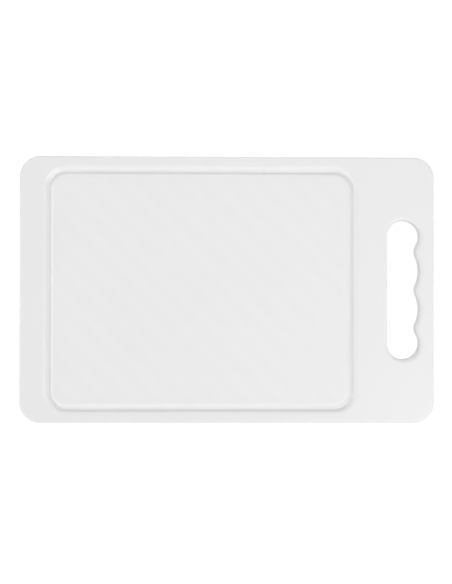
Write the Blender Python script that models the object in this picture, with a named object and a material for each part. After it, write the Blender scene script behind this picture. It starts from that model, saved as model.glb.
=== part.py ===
"""A plastic cutting board, moulded in one piece.

The board is a slab with rounded corners and rounded edges. A juice groove runs around its
cutting field, and a hand slot with four finger scallops goes through it beside the field.

Metres, +Z up. The board lies on its underside at z = 0, centred on the origin, with its
length along X and the hand slot at +X.
"""

import math

import bmesh
import bpy

# Slab
BOARD_LENGTH = 0.280
BOARD_WIDTH = 0.180
BOARD_THICKNESS = 0.008
CORNER_RADIUS = 0.014
EDGE_RADIUS = 0.0015

# Juice groove, measured to its centreline
GROOVE_LENGTH = 0.2047
GROOVE_END_MARGIN = 0.0195
GROOVE_SIDE_MARGIN = 0.0098
GROOVE_CORNER_RADIUS = 0.0118
GROOVE_HALF_WIDTH = 0.004
GROOVE_DEPTH = 0.0022
GROOVE_SHOULDER_RADIUS = 0.003

# Hand slot
SLOT_LENGTH = 0.0944
SLOT_WIDTH = 0.0218
SLOT_EDGE_RADIUS = 0.0025
HANDLE_BAR_WIDTH = 0.0097
FINGER_PITCH = 0.0261
FINGER_RIDGE_HEIGHT = 0.0028

# Fineness of the curved surfaces
CORNER_STEPS = 14
EDGE_STEPS = 5
GROOVE_ARC_STEPS = 4
SLOT_END_STEPS = 18
FINGER_STEPS = 8
RIDGE_STEPS = 6

PLASTIC_COLOUR = (0.83, 0.83, 0.82, 1.0)
PLASTIC_ROUGHNESS = 0.45

# Worked out from the sizes above
GROOVE_WIDTH_ACROSS = BOARD_WIDTH - 2 * GROOVE_SIDE_MARGIN
GROOVE_CENTRE_X = -BOARD_LENGTH / 2 + GROOVE_END_MARGIN + GROOVE_LENGTH / 2
SLOT_RIGHT = BOARD_LENGTH / 2 - HANDLE_BAR_WIDTH
SLOT_END_RADIUS = SLOT_WIDTH / 2
SLOT_END_Y = SLOT_LENGTH / 2 - SLOT_END_RADIUS


def clear_scene():
    for existing in list(bpy.data.objects):
        bpy.data.objects.remove(existing, do_unlink=True)


def arc(centre_x, centre_y, radius, start, end, steps):
    """Points of an arc from angle start to angle end, both included."""
    points = []
    for step in range(steps + 1):
        angle = start + (end - start) * step / steps
        points.append((centre_x + radius * math.cos(angle), centre_y + radius * math.sin(angle)))
    return points


def rounded_rectangle(length, width, radius, centre_x=0.0):
    """A rounded rectangle, anticlockwise from its right-hand side."""
    points = []
    inner_x = length / 2 - radius
    inner_y = width / 2 - radius
    for quarter, (side_x, side_y) in enumerate(((1, 1), (-1, 1), (-1, -1), (1, -1))):
        start = quarter * math.pi / 2
        points += arc(
            centre_x + side_x * inner_x,
            side_y * inner_y,
            radius,
            start,
            start + math.pi / 2,
            CORNER_STEPS,
        )
    return points


def board_outline(inset):
    return rounded_rectangle(
        BOARD_LENGTH - 2 * inset, BOARD_WIDTH - 2 * inset, CORNER_RADIUS - inset
    )


def groove_outline(outward):
    """The groove's plan line, moved out from its centreline."""
    return rounded_rectangle(
        GROOVE_LENGTH + 2 * outward,
        GROOVE_WIDTH_ACROSS + 2 * outward,
        GROOVE_CORNER_RADIUS + outward,
        GROOVE_CENTRE_X,
    )


def tangent_radii(along, height):
    """Sum of the radii of two arcs that meet smoothly, from a crest to a trough, and their turn."""
    total = (along**2 + height**2) / (2 * height)
    return total, math.asin(along / total)


def slot_outline(outward):
    """The hand slot, anticlockwise, moved out into the board.

    The straight wall is at -X. The +X wall has four finger hollows with three ridges between
    them. The two outer hollows are the slot's round ends. Every arc meets the next smoothly.
    """
    centre_x = SLOT_RIGHT - SLOT_END_RADIUS
    outer_total, outer_turn = tangent_radii(SLOT_END_Y - FINGER_PITCH, FINGER_RIDGE_HEIGHT)
    finger_total, finger_turn = tangent_radii(FINGER_PITCH / 2, FINGER_RIDGE_HEIGHT)
    ridge_radius = outer_total - SLOT_END_RADIUS
    finger_radius = finger_total - ridge_radius
    ridge_x = SLOT_RIGHT - FINGER_RIDGE_HEIGHT + ridge_radius
    finger_x = SLOT_RIGHT - finger_radius
    half_turn = math.pi

    def ridge(y, turn_in, turn_out):
        start, end = half_turn + turn_in, half_turn - turn_out
        return arc(ridge_x, y, ridge_radius - outward, start, end, RIDGE_STEPS)

    def finger(y):
        return arc(finger_x, y, finger_radius + outward, -finger_turn, finger_turn, FINGER_STEPS)

    end_radius = SLOT_END_RADIUS + outward
    stretches = [
        arc(centre_x, -SLOT_END_Y, end_radius, -half_turn, outer_turn, SLOT_END_STEPS),
        ridge(-FINGER_PITCH, outer_turn, finger_turn),
        finger(-FINGER_PITCH / 2),
        ridge(0.0, finger_turn, finger_turn),
        finger(FINGER_PITCH / 2),
        ridge(FINGER_PITCH, finger_turn, outer_turn),
        arc(centre_x, SLOT_END_Y, end_radius, -outer_turn, half_turn, SLOT_END_STEPS),
    ]
    points = stretches[0]
    for stretch in stretches[1:]:
        points = points + stretch[1:]
    return points


def wall_section(radius):
    """(how far back from the wall, height) from underside to top, round at both edges."""
    section = []
    for step in range(EDGE_STEPS + 1):
        angle = step / EDGE_STEPS * math.pi / 2
        section.append((radius * (1 - math.sin(angle)), radius * (1 - math.cos(angle))))
    top_half = [(back, BOARD_THICKNESS - height) for back, height in reversed(section)]
    return section + top_half


def groove_section():
    """(distance outward from the centreline, height) from the outer shoulder to the inner one."""
    total, turn = tangent_radii(GROOVE_HALF_WIDTH, GROOVE_DEPTH)
    bottom_radius = total - GROOVE_SHOULDER_RADIUS
    bottom = BOARD_THICKNESS - GROOVE_DEPTH
    outer_half = []
    for step in range(GROOVE_ARC_STEPS + 1):
        angle = turn * step / GROOVE_ARC_STEPS
        outward = GROOVE_HALF_WIDTH - GROOVE_SHOULDER_RADIUS * math.sin(angle)
        height = BOARD_THICKNESS - GROOVE_SHOULDER_RADIUS * (1 - math.cos(angle))
        outer_half.append((outward, height))
    for step in range(1, GROOVE_ARC_STEPS + 1):
        angle = turn * (1 - step / GROOVE_ARC_STEPS)
        outer_half.append(
            (bottom_radius * math.sin(angle), bottom + bottom_radius * (1 - math.cos(angle)))
        )
    inner_half = [(-outward, height) for outward, height in reversed(outer_half[:-1])]
    return outer_half + inner_half


def add_ring(bm, outline, height):
    return [bm.verts.new((x, y, height)) for x, y in outline]


def add_skin(bm, rings):
    """Faces between each ring and the next."""
    for lower, upper in zip(rings, rings[1:]):
        for i, corner in enumerate(lower):
            after = (i + 1) % len(lower)
            bm.faces.new((corner, lower[after], upper[after], upper[i]))


def ring_edges(bm, ring):
    return [bm.edges.get((ring[i - 1], ring[i])) for i in range(len(ring))]


def add_flat(bm, *rings):
    """A flat face between an outline and the outlines inside it."""
    edges = [edge for ring in rings for edge in ring_edges(bm, ring)]
    bmesh.ops.triangle_fill(bm, edges=edges, use_beauty=True)


def build_board():
    bm = bmesh.new()
    outer = [
        add_ring(bm, board_outline(back), height)
        for back, height in wall_section(EDGE_RADIUS)
    ]
    slot = [
        add_ring(bm, slot_outline(back), height)
        for back, height in wall_section(SLOT_EDGE_RADIUS)
    ]
    groove = [
        add_ring(bm, groove_outline(outward), height)
        for outward, height in groove_section()
    ]
    for rings in (outer, slot, groove):
        add_skin(bm, rings)
    add_flat(bm, outer[0], slot[0])
    add_flat(bm, outer[-1], slot[-1], groove[0])
    add_flat(bm, groove[-1])
    bmesh.ops.recalc_face_normals(bm, faces=bm.faces)

    mesh = bpy.data.meshes.new("board")
    bm.to_mesh(mesh)
    bm.free()
    mesh.shade_smooth()
    mesh.set_sharp_from_angle(angle=math.radians(30))
    return mesh


def plastic():
    material = bpy.data.materials.new("white_polyethylene")
    material.use_nodes = True
    surface = material.node_tree.nodes["Principled BSDF"]
    surface.inputs["Base Color"].default_value = PLASTIC_COLOUR
    surface.inputs["Roughness"].default_value = PLASTIC_ROUGHNESS
    surface.inputs["Metallic"].default_value = 0.0
    return material


def main():
    clear_scene()
    board = bpy.data.objects.new("board", build_board())
    board.data.materials.append(plastic())
    bpy.context.scene.collection.objects.link(board)


main()
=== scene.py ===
"""The looks of the cutting board: a finer mesh of the moulded slab, its satin plastic and soft light."""

import math

import bmesh
import bpy
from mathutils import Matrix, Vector


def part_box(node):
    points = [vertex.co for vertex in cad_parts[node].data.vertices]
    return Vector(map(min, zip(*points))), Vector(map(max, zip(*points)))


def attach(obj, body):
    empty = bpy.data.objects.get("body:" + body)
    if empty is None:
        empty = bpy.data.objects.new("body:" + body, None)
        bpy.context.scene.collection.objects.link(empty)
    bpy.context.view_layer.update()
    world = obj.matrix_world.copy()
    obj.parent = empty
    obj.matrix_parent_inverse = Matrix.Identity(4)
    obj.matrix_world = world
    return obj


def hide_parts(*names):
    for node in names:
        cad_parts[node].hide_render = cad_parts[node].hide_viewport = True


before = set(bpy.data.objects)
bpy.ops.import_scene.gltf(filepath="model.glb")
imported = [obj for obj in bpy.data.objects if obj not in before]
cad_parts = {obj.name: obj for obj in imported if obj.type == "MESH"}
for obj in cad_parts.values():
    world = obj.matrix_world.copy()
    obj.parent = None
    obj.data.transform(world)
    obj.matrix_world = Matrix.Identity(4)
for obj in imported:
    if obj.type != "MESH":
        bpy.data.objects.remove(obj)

# The slab's box comes from the frame. These are its other sizes, in metres, as in part.py.
CORNER_RADIUS = 0.014
EDGE_RADIUS = 0.0015

GROOVE_LENGTH = 0.2047
GROOVE_END_MARGIN = 0.0195
GROOVE_SIDE_MARGIN = 0.0098
GROOVE_CORNER_RADIUS = 0.0118
GROOVE_HALF_WIDTH = 0.004
GROOVE_DEPTH = 0.0022
GROOVE_SHOULDER_RADIUS = 0.003

# Fine diagonal ribs of the cutting field, and the strip along its border where they die away
RIB_PITCH = 0.00164
RIB_DEPTH = 0.00004
RIB_RUNOUT = 0.0015

SLOT_LENGTH = 0.0944
SLOT_WIDTH = 0.0218
SLOT_EDGE_RADIUS = 0.0025
HANDLE_BAR_WIDTH = 0.0097
FINGER_PITCH = 0.0261
FINGER_RIDGE_HEIGHT = 0.0028

# Fineness of the curved surfaces
CORNER_STEPS = 32
EDGE_STEPS = 10
GROOVE_ARC_STEPS = 10
SLOT_END_STEPS = 48
FINGER_STEPS = 20
RIDGE_STEPS = 14
STEPS_PER_RIB = 6

# Width of the flat strip beside each rounded edge, which keeps the flats' shading flat
FLAT_RIM = 0.0003

# How near to a cut across the ribs a corner may be and count as on it
CUT_SNAP = 1e-8
CUT_SLACK = 1e-7

# Plastic
PLASTIC_COLOUR = (0.793, 0.793, 0.793)
PLASTIC_IOR = 1.5

# Its relief: a fine grain on slow waves
GRAIN_SIZE = 0.0006
GRAIN_HEIGHT = 0.000003
WAVE_SIZE = 0.045
WAVE_HEIGHT = 0.00006

# Its mottling: a speckle, and on the cutting field faint diagonal bands of painted shade that stand in
# for the shading of the fine ribs
SPECKLE_SIZE = 0.003
SPECKLE_DETAIL = 4.0
PAINTED_SHADE_BAND_PITCH = 0.014

# Its roughness, and how strongly the field, the speckle and the waves change it
PLAIN_ROUGHNESS = 0.40
FIELD_ROUGHNESS = 0.10
SPECKLE_ROUGHNESS = 0.10
WAVE_ROUGHNESS = 0.08

# How strongly the waves, the speckle and the painted shade bands change its colour
WAVE_SHADE = 0.012
SPECKLE_SHADE = 0.010
PAINTED_BAND_SHADE_AMOUNT = 0.006

# Softboxes round the board: (turn from +X, height above the floor) in degrees, radiance
SOFTBOXES = (
    (315, 52, 11.1),
    (0, 67, 2.7),
    (90, 52, 4.2),
    (180, 22, 8.4),
    (225, 22, 3.7),
    (270, 22, 3.4),
    (90, 7, 8.0),
    (0, 7, 6.7),
)

# Degrees from a softbox's middle to the end of its full brightness, and to its border
SOFTBOX_CORE = 8.4
SOFTBOX_BORDER = 15.6

# The floor: its half width in board lengths, its gap under the board, and its light
FLOOR_REACH = 12
FLOOR_GAP = 0.0002
FLOOR_BOUNCE = 0.55

# What the camera sees round the board: a floor that is white as far as WHITE_TO from its
# middle and fades to pale grey at GREY_FROM, and the same grey behind it
SWEEP_WHITE = 1.05
SWEEP_GREY = 0.72
WHITE_TO = 0.255
GREY_FROM = 0.45

# Camera: straight above, aimed just off the board's centre, a little out of square with it
CAMERA_HEIGHT = 0.450
FOCAL_LENGTH = 41.14
SENSOR_WIDTH = 36.0
AIM_LEFT_OF_CENTRE = 0.0011
AIM_BELOW_CENTRE = 0.0015
YAW = math.radians(0.8)
PITCH = math.radians(0.3)
ROLL = math.radians(0.1)

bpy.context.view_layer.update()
LOW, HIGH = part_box("board")
BOARD_LENGTH = HIGH.x - LOW.x
BOARD_WIDTH = HIGH.y - LOW.y
BOARD_THICKNESS = HIGH.z - LOW.z

# Worked out from the sizes above
GROOVE_WIDTH_ACROSS = BOARD_WIDTH - 2 * GROOVE_SIDE_MARGIN
GROOVE_CENTRE_X = LOW.x + GROOVE_END_MARGIN + GROOVE_LENGTH / 2
SLOT_RIGHT = HIGH.x - HANDLE_BAR_WIDTH
SLOT_END_RADIUS = SLOT_WIDTH / 2
SLOT_END_Y = SLOT_LENGTH / 2 - SLOT_END_RADIUS

# How far the ribbed field's border is inside the groove's centreline
FIELD_BORDER = GROOVE_HALF_WIDTH + 2 * FLAT_RIM


def arc(centre_x, centre_y, radius, start, end, steps):
    """Points of an arc from angle start to angle end, both included."""
    points = []
    for step in range(steps + 1):
        angle = start + (end - start) * step / steps
        points.append((centre_x + radius * math.cos(angle), centre_y + radius * math.sin(angle)))
    return points


def rounded_rectangle(length, width, radius, centre_x=0.0):
    """A rounded rectangle, anticlockwise from its right-hand side."""
    points = []
    inner_x = length / 2 - radius
    inner_y = width / 2 - radius
    for quarter, (side_x, side_y) in enumerate(((1, 1), (-1, 1), (-1, -1), (1, -1))):
        start = quarter * math.pi / 2
        points += arc(
            centre_x + side_x * inner_x,
            side_y * inner_y,
            radius,
            start,
            start + math.pi / 2,
            CORNER_STEPS,
        )
    return points


def board_outline(inset):
    return rounded_rectangle(
        BOARD_LENGTH - 2 * inset, BOARD_WIDTH - 2 * inset, CORNER_RADIUS - inset
    )


def groove_outline(outward):
    """The groove's plan line, moved out from its centreline."""
    return rounded_rectangle(
        GROOVE_LENGTH + 2 * outward,
        GROOVE_WIDTH_ACROSS + 2 * outward,
        GROOVE_CORNER_RADIUS + outward,
        GROOVE_CENTRE_X,
    )


def tangent_radii(along, height):
    """Sum of the radii of two arcs that meet smoothly, from a crest to a trough, and their turn."""
    total = (along**2 + height**2) / (2 * height)
    return total, math.asin(along / total)


def slot_outline(outward):
    """The hand slot, anticlockwise, moved out into the board.

    The straight wall is at -X. The +X wall has four finger hollows with three ridges between
    them. The two outer hollows are the slot's round ends. Every arc meets the next smoothly.
    """
    centre_x = SLOT_RIGHT - SLOT_END_RADIUS
    outer_total, outer_turn = tangent_radii(SLOT_END_Y - FINGER_PITCH, FINGER_RIDGE_HEIGHT)
    finger_total, finger_turn = tangent_radii(FINGER_PITCH / 2, FINGER_RIDGE_HEIGHT)
    ridge_radius = outer_total - SLOT_END_RADIUS
    finger_radius = finger_total - ridge_radius
    ridge_x = SLOT_RIGHT - FINGER_RIDGE_HEIGHT + ridge_radius
    finger_x = SLOT_RIGHT - finger_radius
    half_turn = math.pi

    def ridge(y, turn_in, turn_out):
        start, end = half_turn + turn_in, half_turn - turn_out
        return arc(ridge_x, y, ridge_radius - outward, start, end, RIDGE_STEPS)

    def finger(y):
        return arc(finger_x, y, finger_radius + outward, -finger_turn, finger_turn, FINGER_STEPS)

    end_radius = SLOT_END_RADIUS + outward
    stretches = [
        arc(centre_x, -SLOT_END_Y, end_radius, -half_turn, outer_turn, SLOT_END_STEPS),
        ridge(-FINGER_PITCH, outer_turn, finger_turn),
        finger(-FINGER_PITCH / 2),
        ridge(0.0, finger_turn, finger_turn),
        finger(FINGER_PITCH / 2),
        ridge(FINGER_PITCH, finger_turn, outer_turn),
        arc(centre_x, SLOT_END_Y, end_radius, -outer_turn, half_turn, SLOT_END_STEPS),
    ]
    points = stretches[0]
    for stretch in stretches[1:]:
        points = points + stretch[1:]
    return points


def wall_section(radius):
    """(how far back from the wall, height) from underside to top, with a rim on each flat."""
    section = [(radius + FLAT_RIM, 0.0)]
    for step in range(EDGE_STEPS + 1):
        angle = step / EDGE_STEPS * math.pi / 2
        section.append((radius * (1 - math.sin(angle)), radius * (1 - math.cos(angle))))
    top_half = [(back, BOARD_THICKNESS - height) for back, height in reversed(section)]
    return section + top_half


def groove_section():
    """(distance outward from the centreline, height) from the outer rim to the inner one.

    The inner rim is at the mean height of the ribs, whose crests are level with the margin.
    """
    total, turn = tangent_radii(GROOVE_HALF_WIDTH, GROOVE_DEPTH)
    bottom_radius = total - GROOVE_SHOULDER_RADIUS
    bottom = BOARD_THICKNESS - GROOVE_DEPTH
    outer_half = [(GROOVE_HALF_WIDTH + FLAT_RIM, BOARD_THICKNESS)]
    for step in range(GROOVE_ARC_STEPS + 1):
        angle = turn * step / GROOVE_ARC_STEPS
        outward = GROOVE_HALF_WIDTH - GROOVE_SHOULDER_RADIUS * math.sin(angle)
        height = BOARD_THICKNESS - GROOVE_SHOULDER_RADIUS * (1 - math.cos(angle))
        outer_half.append((outward, height))
    for step in range(1, GROOVE_ARC_STEPS + 1):
        angle = turn * (1 - step / GROOVE_ARC_STEPS)
        outer_half.append(
            (bottom_radius * math.sin(angle), bottom + bottom_radius * (1 - math.cos(angle)))
        )
    rise = (GROOVE_DEPTH - RIB_DEPTH / 2) / GROOVE_DEPTH
    inner_half = [
        (-outward, bottom + (height - bottom) * rise)
        for outward, height in reversed(outer_half[:-1])
    ]
    return outer_half + inner_half


def add_ring(bm, outline, height):
    return [bm.verts.new((x, y, LOW.z + height)) for x, y in outline]


def add_skin(bm, rings):
    """Faces between each ring and the next."""
    faces = []
    for lower, upper in zip(rings, rings[1:]):
        for i, corner in enumerate(lower):
            after = (i + 1) % len(lower)
            faces.append(bm.faces.new((corner, lower[after], upper[after], upper[i])))
    return faces


def ring_edges(bm, ring):
    return [bm.edges.get((ring[i - 1], ring[i])) for i in range(len(ring))]


def add_flat(bm, *rings):
    """A flat face between an outline and the outlines inside it."""
    edges = [edge for ring in rings for edge in ring_edges(bm, ring)]
    bmesh.ops.triangle_fill(bm, edges=edges, use_beauty=True)


def across_ribs(vert):
    """How far a vertex is along the diagonal that the ribs lie across."""
    return (vert.co.x + vert.co.y) / math.sqrt(2)


def cut_across_ribs(bm, faces, distance):
    """Cuts the faces along a rib. Returns the faces past the cut and the new vertices."""
    past = distance / math.sqrt(2)
    corners = {corner for face in faces for corner in face.verts}
    sides = {side for face in faces for side in face.edges}
    cut = bmesh.ops.bisect_plane(
        bm,
        geom=[*faces, *sides, *corners],
        dist=CUT_SNAP,
        plane_co=(past, past, 0),
        plane_no=(1, 1, 0),
    )
    pieces = [item for item in cut["geom"] if isinstance(item, bmesh.types.BMFace)]
    cut_line = [item for item in cut["geom_cut"] if isinstance(item, bmesh.types.BMVert)]
    beyond = [
        piece
        for piece in pieces
        if max(across_ribs(vert) for vert in piece.verts) > distance + CUT_SLACK
    ]
    return beyond, cut_line


def share_of_rib(vert):
    """How much of its full height a rib has here: none on the field's border, then all of it."""
    past_x = abs(vert.co.x - GROOVE_CENTRE_X) - GROOVE_LENGTH / 2 + GROOVE_CORNER_RADIUS
    past_y = abs(vert.co.y) - GROOVE_WIDTH_ACROSS / 2 + GROOVE_CORNER_RADIUS
    outward = math.hypot(max(past_x, 0), max(past_y, 0)) + min(max(past_x, past_y), 0)
    inward = GROOVE_CORNER_RADIUS - outward - FIELD_BORDER
    return min(max(inward / RIB_RUNOUT, 0.0), 1.0)


def add_ribbed_field(bm, rim, in_field):
    """The cutting field inside the rim: strips that rise and fall as fine diagonal ribs."""
    level = BOARD_THICKNESS - RIB_DEPTH / 2
    border = add_ring(bm, groove_outline(-FIELD_BORDER), level)
    inner = add_ring(bm, groove_outline(-FIELD_BORDER - RIB_RUNOUT), level)
    add_skin(bm, [rim, border])
    ahead = add_skin(bm, [border, inner]) + [bm.faces.new(inner)]
    ribbed = {*border, *inner}
    first = min(across_ribs(vert) for vert in border)
    last = max(across_ribs(vert) for vert in border)
    strip = RIB_PITCH / STEPS_PER_RIB
    for step in range(1, math.ceil((last - first) / strip)):
        ahead, cut_line = cut_across_ribs(bm, ahead, first + step * strip)
        ribbed.update(cut_line)
    for vert in ribbed:
        turn = 2 * math.pi * across_ribs(vert) / RIB_PITCH
        share = share_of_rib(vert)
        vert.co.z += share * RIB_DEPTH / 2 * math.cos(turn)
        vert[in_field] = share


def build_board():
    bm = bmesh.new()
    in_field = bm.verts.layers.float.new("in_field")
    outer = [
        add_ring(bm, board_outline(back), height)
        for back, height in wall_section(EDGE_RADIUS)
    ]
    slot = [
        add_ring(bm, slot_outline(back), height)
        for back, height in wall_section(SLOT_EDGE_RADIUS)
    ]
    groove = [
        add_ring(bm, groove_outline(outward), height)
        for outward, height in groove_section()
    ]
    for rings in (outer, slot, groove):
        add_skin(bm, rings)
    add_flat(bm, outer[0], slot[0])
    add_flat(bm, outer[-1], slot[-1], groove[0])
    add_ribbed_field(bm, groove[-1], in_field)
    bmesh.ops.recalc_face_normals(bm, faces=bm.faces)

    mesh = bpy.data.meshes.new("board_moulding")
    bm.to_mesh(mesh)
    bm.free()
    mesh.shade_smooth()
    board = bpy.data.objects.new("board_moulding", mesh)
    bpy.context.scene.collection.objects.link(board)
    return board


class Graph:
    """Adds nodes to a node tree and links them, so that a material reads as a formula."""

    def __init__(self, tree):
        self.tree = tree

    def node(self, kind, inputs=None, **settings):
        made = self.tree.nodes.new(kind)
        for name, value in settings.items():
            setattr(made, name, value)
        for name, value in (inputs or {}).items():
            self.feed(made.inputs[name], value)
        return made

    def feed(self, socket, value):
        if isinstance(value, bpy.types.NodeSocket):
            self.tree.links.new(value, socket)
        else:
            socket.default_value = value

    def math(self, operation, first, second=0.0):
        made = self.node("ShaderNodeMath", {0: first, 1: second}, operation=operation)
        return made.outputs["Value"]

    def noise(self, position, size, detail=2.0):
        """Smooth noise about zero, with features of this size in metres."""
        made = self.node(
            "ShaderNodeTexNoise", {"Vector": position, "Scale": 1 / size, "Detail": detail}
        )
        return self.math("SUBTRACT", made.outputs["Fac"], 0.5)

    def total(self, start, *terms):
        """The start value plus each (value, weight) term."""
        result = start
        for value, weight in terms:
            result = self.math("ADD", self.math("MULTIPLY", value, weight), result)
        return result

    def smooth_step(self, value, low, high, to_low, to_high):
        """Goes smoothly from to_low to to_high as the value goes from low to high."""
        made = self.node(
            "ShaderNodeMapRange",
            {"Value": value, "From Min": low, "From Max": high, "To Min": to_low, "To Max": to_high},
            interpolation_type="SMOOTHSTEP",
        )
        return made.outputs["Result"]


def painted_shade_bands(graph, position):
    """Painted shade: a wave from -1 to 1 across the direction of the ribs, standing in for the ribs'
    shading.
    """
    place = graph.node("ShaderNodeSeparateXYZ", {"Vector": position}).outputs
    across = graph.math("ADD", place["X"], place["Y"])
    turn = graph.math("MULTIPLY", across, math.sqrt(2) * math.pi / PAINTED_SHADE_BAND_PITCH)
    return graph.math("SINE", turn)


def plastic():
    """White polyethylene: satin, with a fine moulded grain, a little duller on the cutting field."""
    material = bpy.data.materials.new("white_polyethylene")
    material.use_nodes = True
    graph = Graph(material.node_tree)
    surface = material.node_tree.nodes["Principled BSDF"]
    position = graph.node("ShaderNodeTexCoord").outputs["Object"]
    field = graph.node("ShaderNodeAttribute", attribute_name="in_field").outputs["Fac"]

    grain = graph.noise(position, GRAIN_SIZE)
    waves = graph.noise(position, WAVE_SIZE)
    speckle = graph.noise(position, SPECKLE_SIZE, SPECKLE_DETAIL)
    # Faint diagonal bands of painted shade on the field, standing in for the shading of the fine ribs
    painted_shade_wave = graph.math("MULTIPLY", painted_shade_bands(graph, position), field)

    height = graph.total(0.0, (waves, WAVE_HEIGHT), (grain, GRAIN_HEIGHT))
    bump = graph.node("ShaderNodeBump", {"Height": height, "Strength": 1.0, "Distance": 1.0})
    roughness = graph.total(
        PLAIN_ROUGHNESS,
        (field, FIELD_ROUGHNESS),
        (speckle, SPECKLE_ROUGHNESS),
        (waves, WAVE_ROUGHNESS),
    )
    shade = graph.total(1.0, (waves, WAVE_SHADE), (speckle, SPECKLE_SHADE), (painted_shade_wave, PAINTED_BAND_SHADE_AMOUNT))
    colour = graph.node(
        "ShaderNodeVectorMath", {0: PLASTIC_COLOUR, "Scale": shade}, operation="SCALE"
    )

    graph.feed(surface.inputs["Base Color"], colour.outputs["Vector"])
    graph.feed(surface.inputs["Roughness"], roughness)
    graph.feed(surface.inputs["Normal"], bump.outputs["Normal"])
    graph.feed(surface.inputs["IOR"], PLASTIC_IOR)
    return material


def when_looked_at(graph, seen, strength):
    """This strength where light falls on the board, and the seen one in the camera's view."""
    looked_at = graph.node("ShaderNodeLightPath").outputs["Is Camera Ray"]
    mix = graph.node("ShaderNodeMix", {"Factor": looked_at, "A": strength, "B": seen})
    return mix.outputs["Result"]


def pale_sweep():
    """Light from the floor: white round the board, and pale grey further off."""
    material = bpy.data.materials.new("pale_sweep")
    material.use_nodes = True
    graph = Graph(material.node_tree)
    material.node_tree.nodes.remove(material.node_tree.nodes["Principled BSDF"])
    position = graph.node("ShaderNodeTexCoord").outputs["Object"]
    length = graph.node("ShaderNodeVectorMath", {0: position}, operation="LENGTH")
    distance = length.outputs["Value"]
    seen = graph.smooth_step(distance, WHITE_TO, GREY_FROM, SWEEP_WHITE, SWEEP_GREY)
    strength = when_looked_at(graph, seen, FLOOR_BOUNCE)
    glow = graph.node("ShaderNodeEmission", {"Color": (1, 1, 1, 1), "Strength": strength})
    output = material.node_tree.nodes["Material Output"]
    graph.feed(output.inputs["Surface"], glow.outputs["Emission"])
    material.cycles.emission_sampling = "NONE"
    return material


def floor():
    """A flat sheet just under the board, which gives it a soft bounce."""
    mesh = bpy.data.meshes.new("floor")
    bm = bmesh.new()
    bmesh.ops.create_grid(bm, x_segments=1, y_segments=1, size=BOARD_LENGTH * FLOOR_REACH)
    bm.to_mesh(mesh)
    bm.free()
    mesh.materials.append(pale_sweep())
    sheet = bpy.data.objects.new("floor", mesh)
    sheet.location.z = LOW.z - FLOOR_GAP
    bpy.context.scene.collection.objects.link(sheet)
    return sheet


def softbox(graph, direction, turn, rise, radiance):
    """A round patch of light with a soft border, seen from the board in this direction."""
    across = math.cos(math.radians(rise))
    axis = (
        across * math.cos(math.radians(turn)),
        across * math.sin(math.radians(turn)),
        math.sin(math.radians(rise)),
    )
    near = graph.node("ShaderNodeVectorMath", {0: direction, 1: axis}, operation="DOT_PRODUCT")
    border = math.cos(math.radians(SOFTBOX_BORDER))
    core = math.cos(math.radians(SOFTBOX_CORE))
    return graph.smooth_step(near.outputs["Value"], border, core, 0.0, radiance)


def studio():
    """A pale backdrop, with softboxes on all four sides of the board and none overhead."""
    world = bpy.data.worlds.new("studio")
    world.use_nodes = True
    bpy.context.scene.world = world
    graph = Graph(world.node_tree)
    direction = graph.node("ShaderNodeTexCoord").outputs["Generated"]
    height = graph.node("ShaderNodeSeparateXYZ", {"Vector": direction}).outputs["Z"]
    strength = 0.0
    for turn, rise, radiance in SOFTBOXES:
        light = softbox(graph, direction, turn, rise, radiance)
        strength = graph.math("ADD", light, strength)
    above_floor = graph.math("GREATER_THAN", height, 0.0)
    strength = graph.math("MULTIPLY", strength, above_floor)
    background = world.node_tree.nodes["Background"]
    background.inputs["Color"].default_value = (1, 1, 1, 1)
    graph.feed(background.inputs["Strength"], when_looked_at(graph, SWEEP_GREY, strength))


def camera():
    """Above the board, looking down."""
    data = bpy.data.cameras.new("camera")
    data.lens = FOCAL_LENGTH
    data.sensor_width = SENSOR_WIDTH
    viewer = bpy.data.objects.new("camera", data)
    centre = (LOW + HIGH) / 2
    aim = Vector((centre.x - AIM_LEFT_OF_CENTRE, centre.y - AIM_BELOW_CENTRE, HIGH.z))
    back = Vector((-math.tan(YAW), -math.tan(PITCH), 1.0)) * CAMERA_HEIGHT
    viewer.location = aim + back
    viewer.rotation_euler = (PITCH, -YAW, ROLL)
    bpy.context.scene.collection.objects.link(viewer)
    bpy.context.scene.camera = viewer


board = build_board()
board.data.materials.append(plastic())
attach(board, "root")
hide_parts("board")

floor()
studio()
camera()
bpy.context.scene.view_settings.view_transform = "Standard"
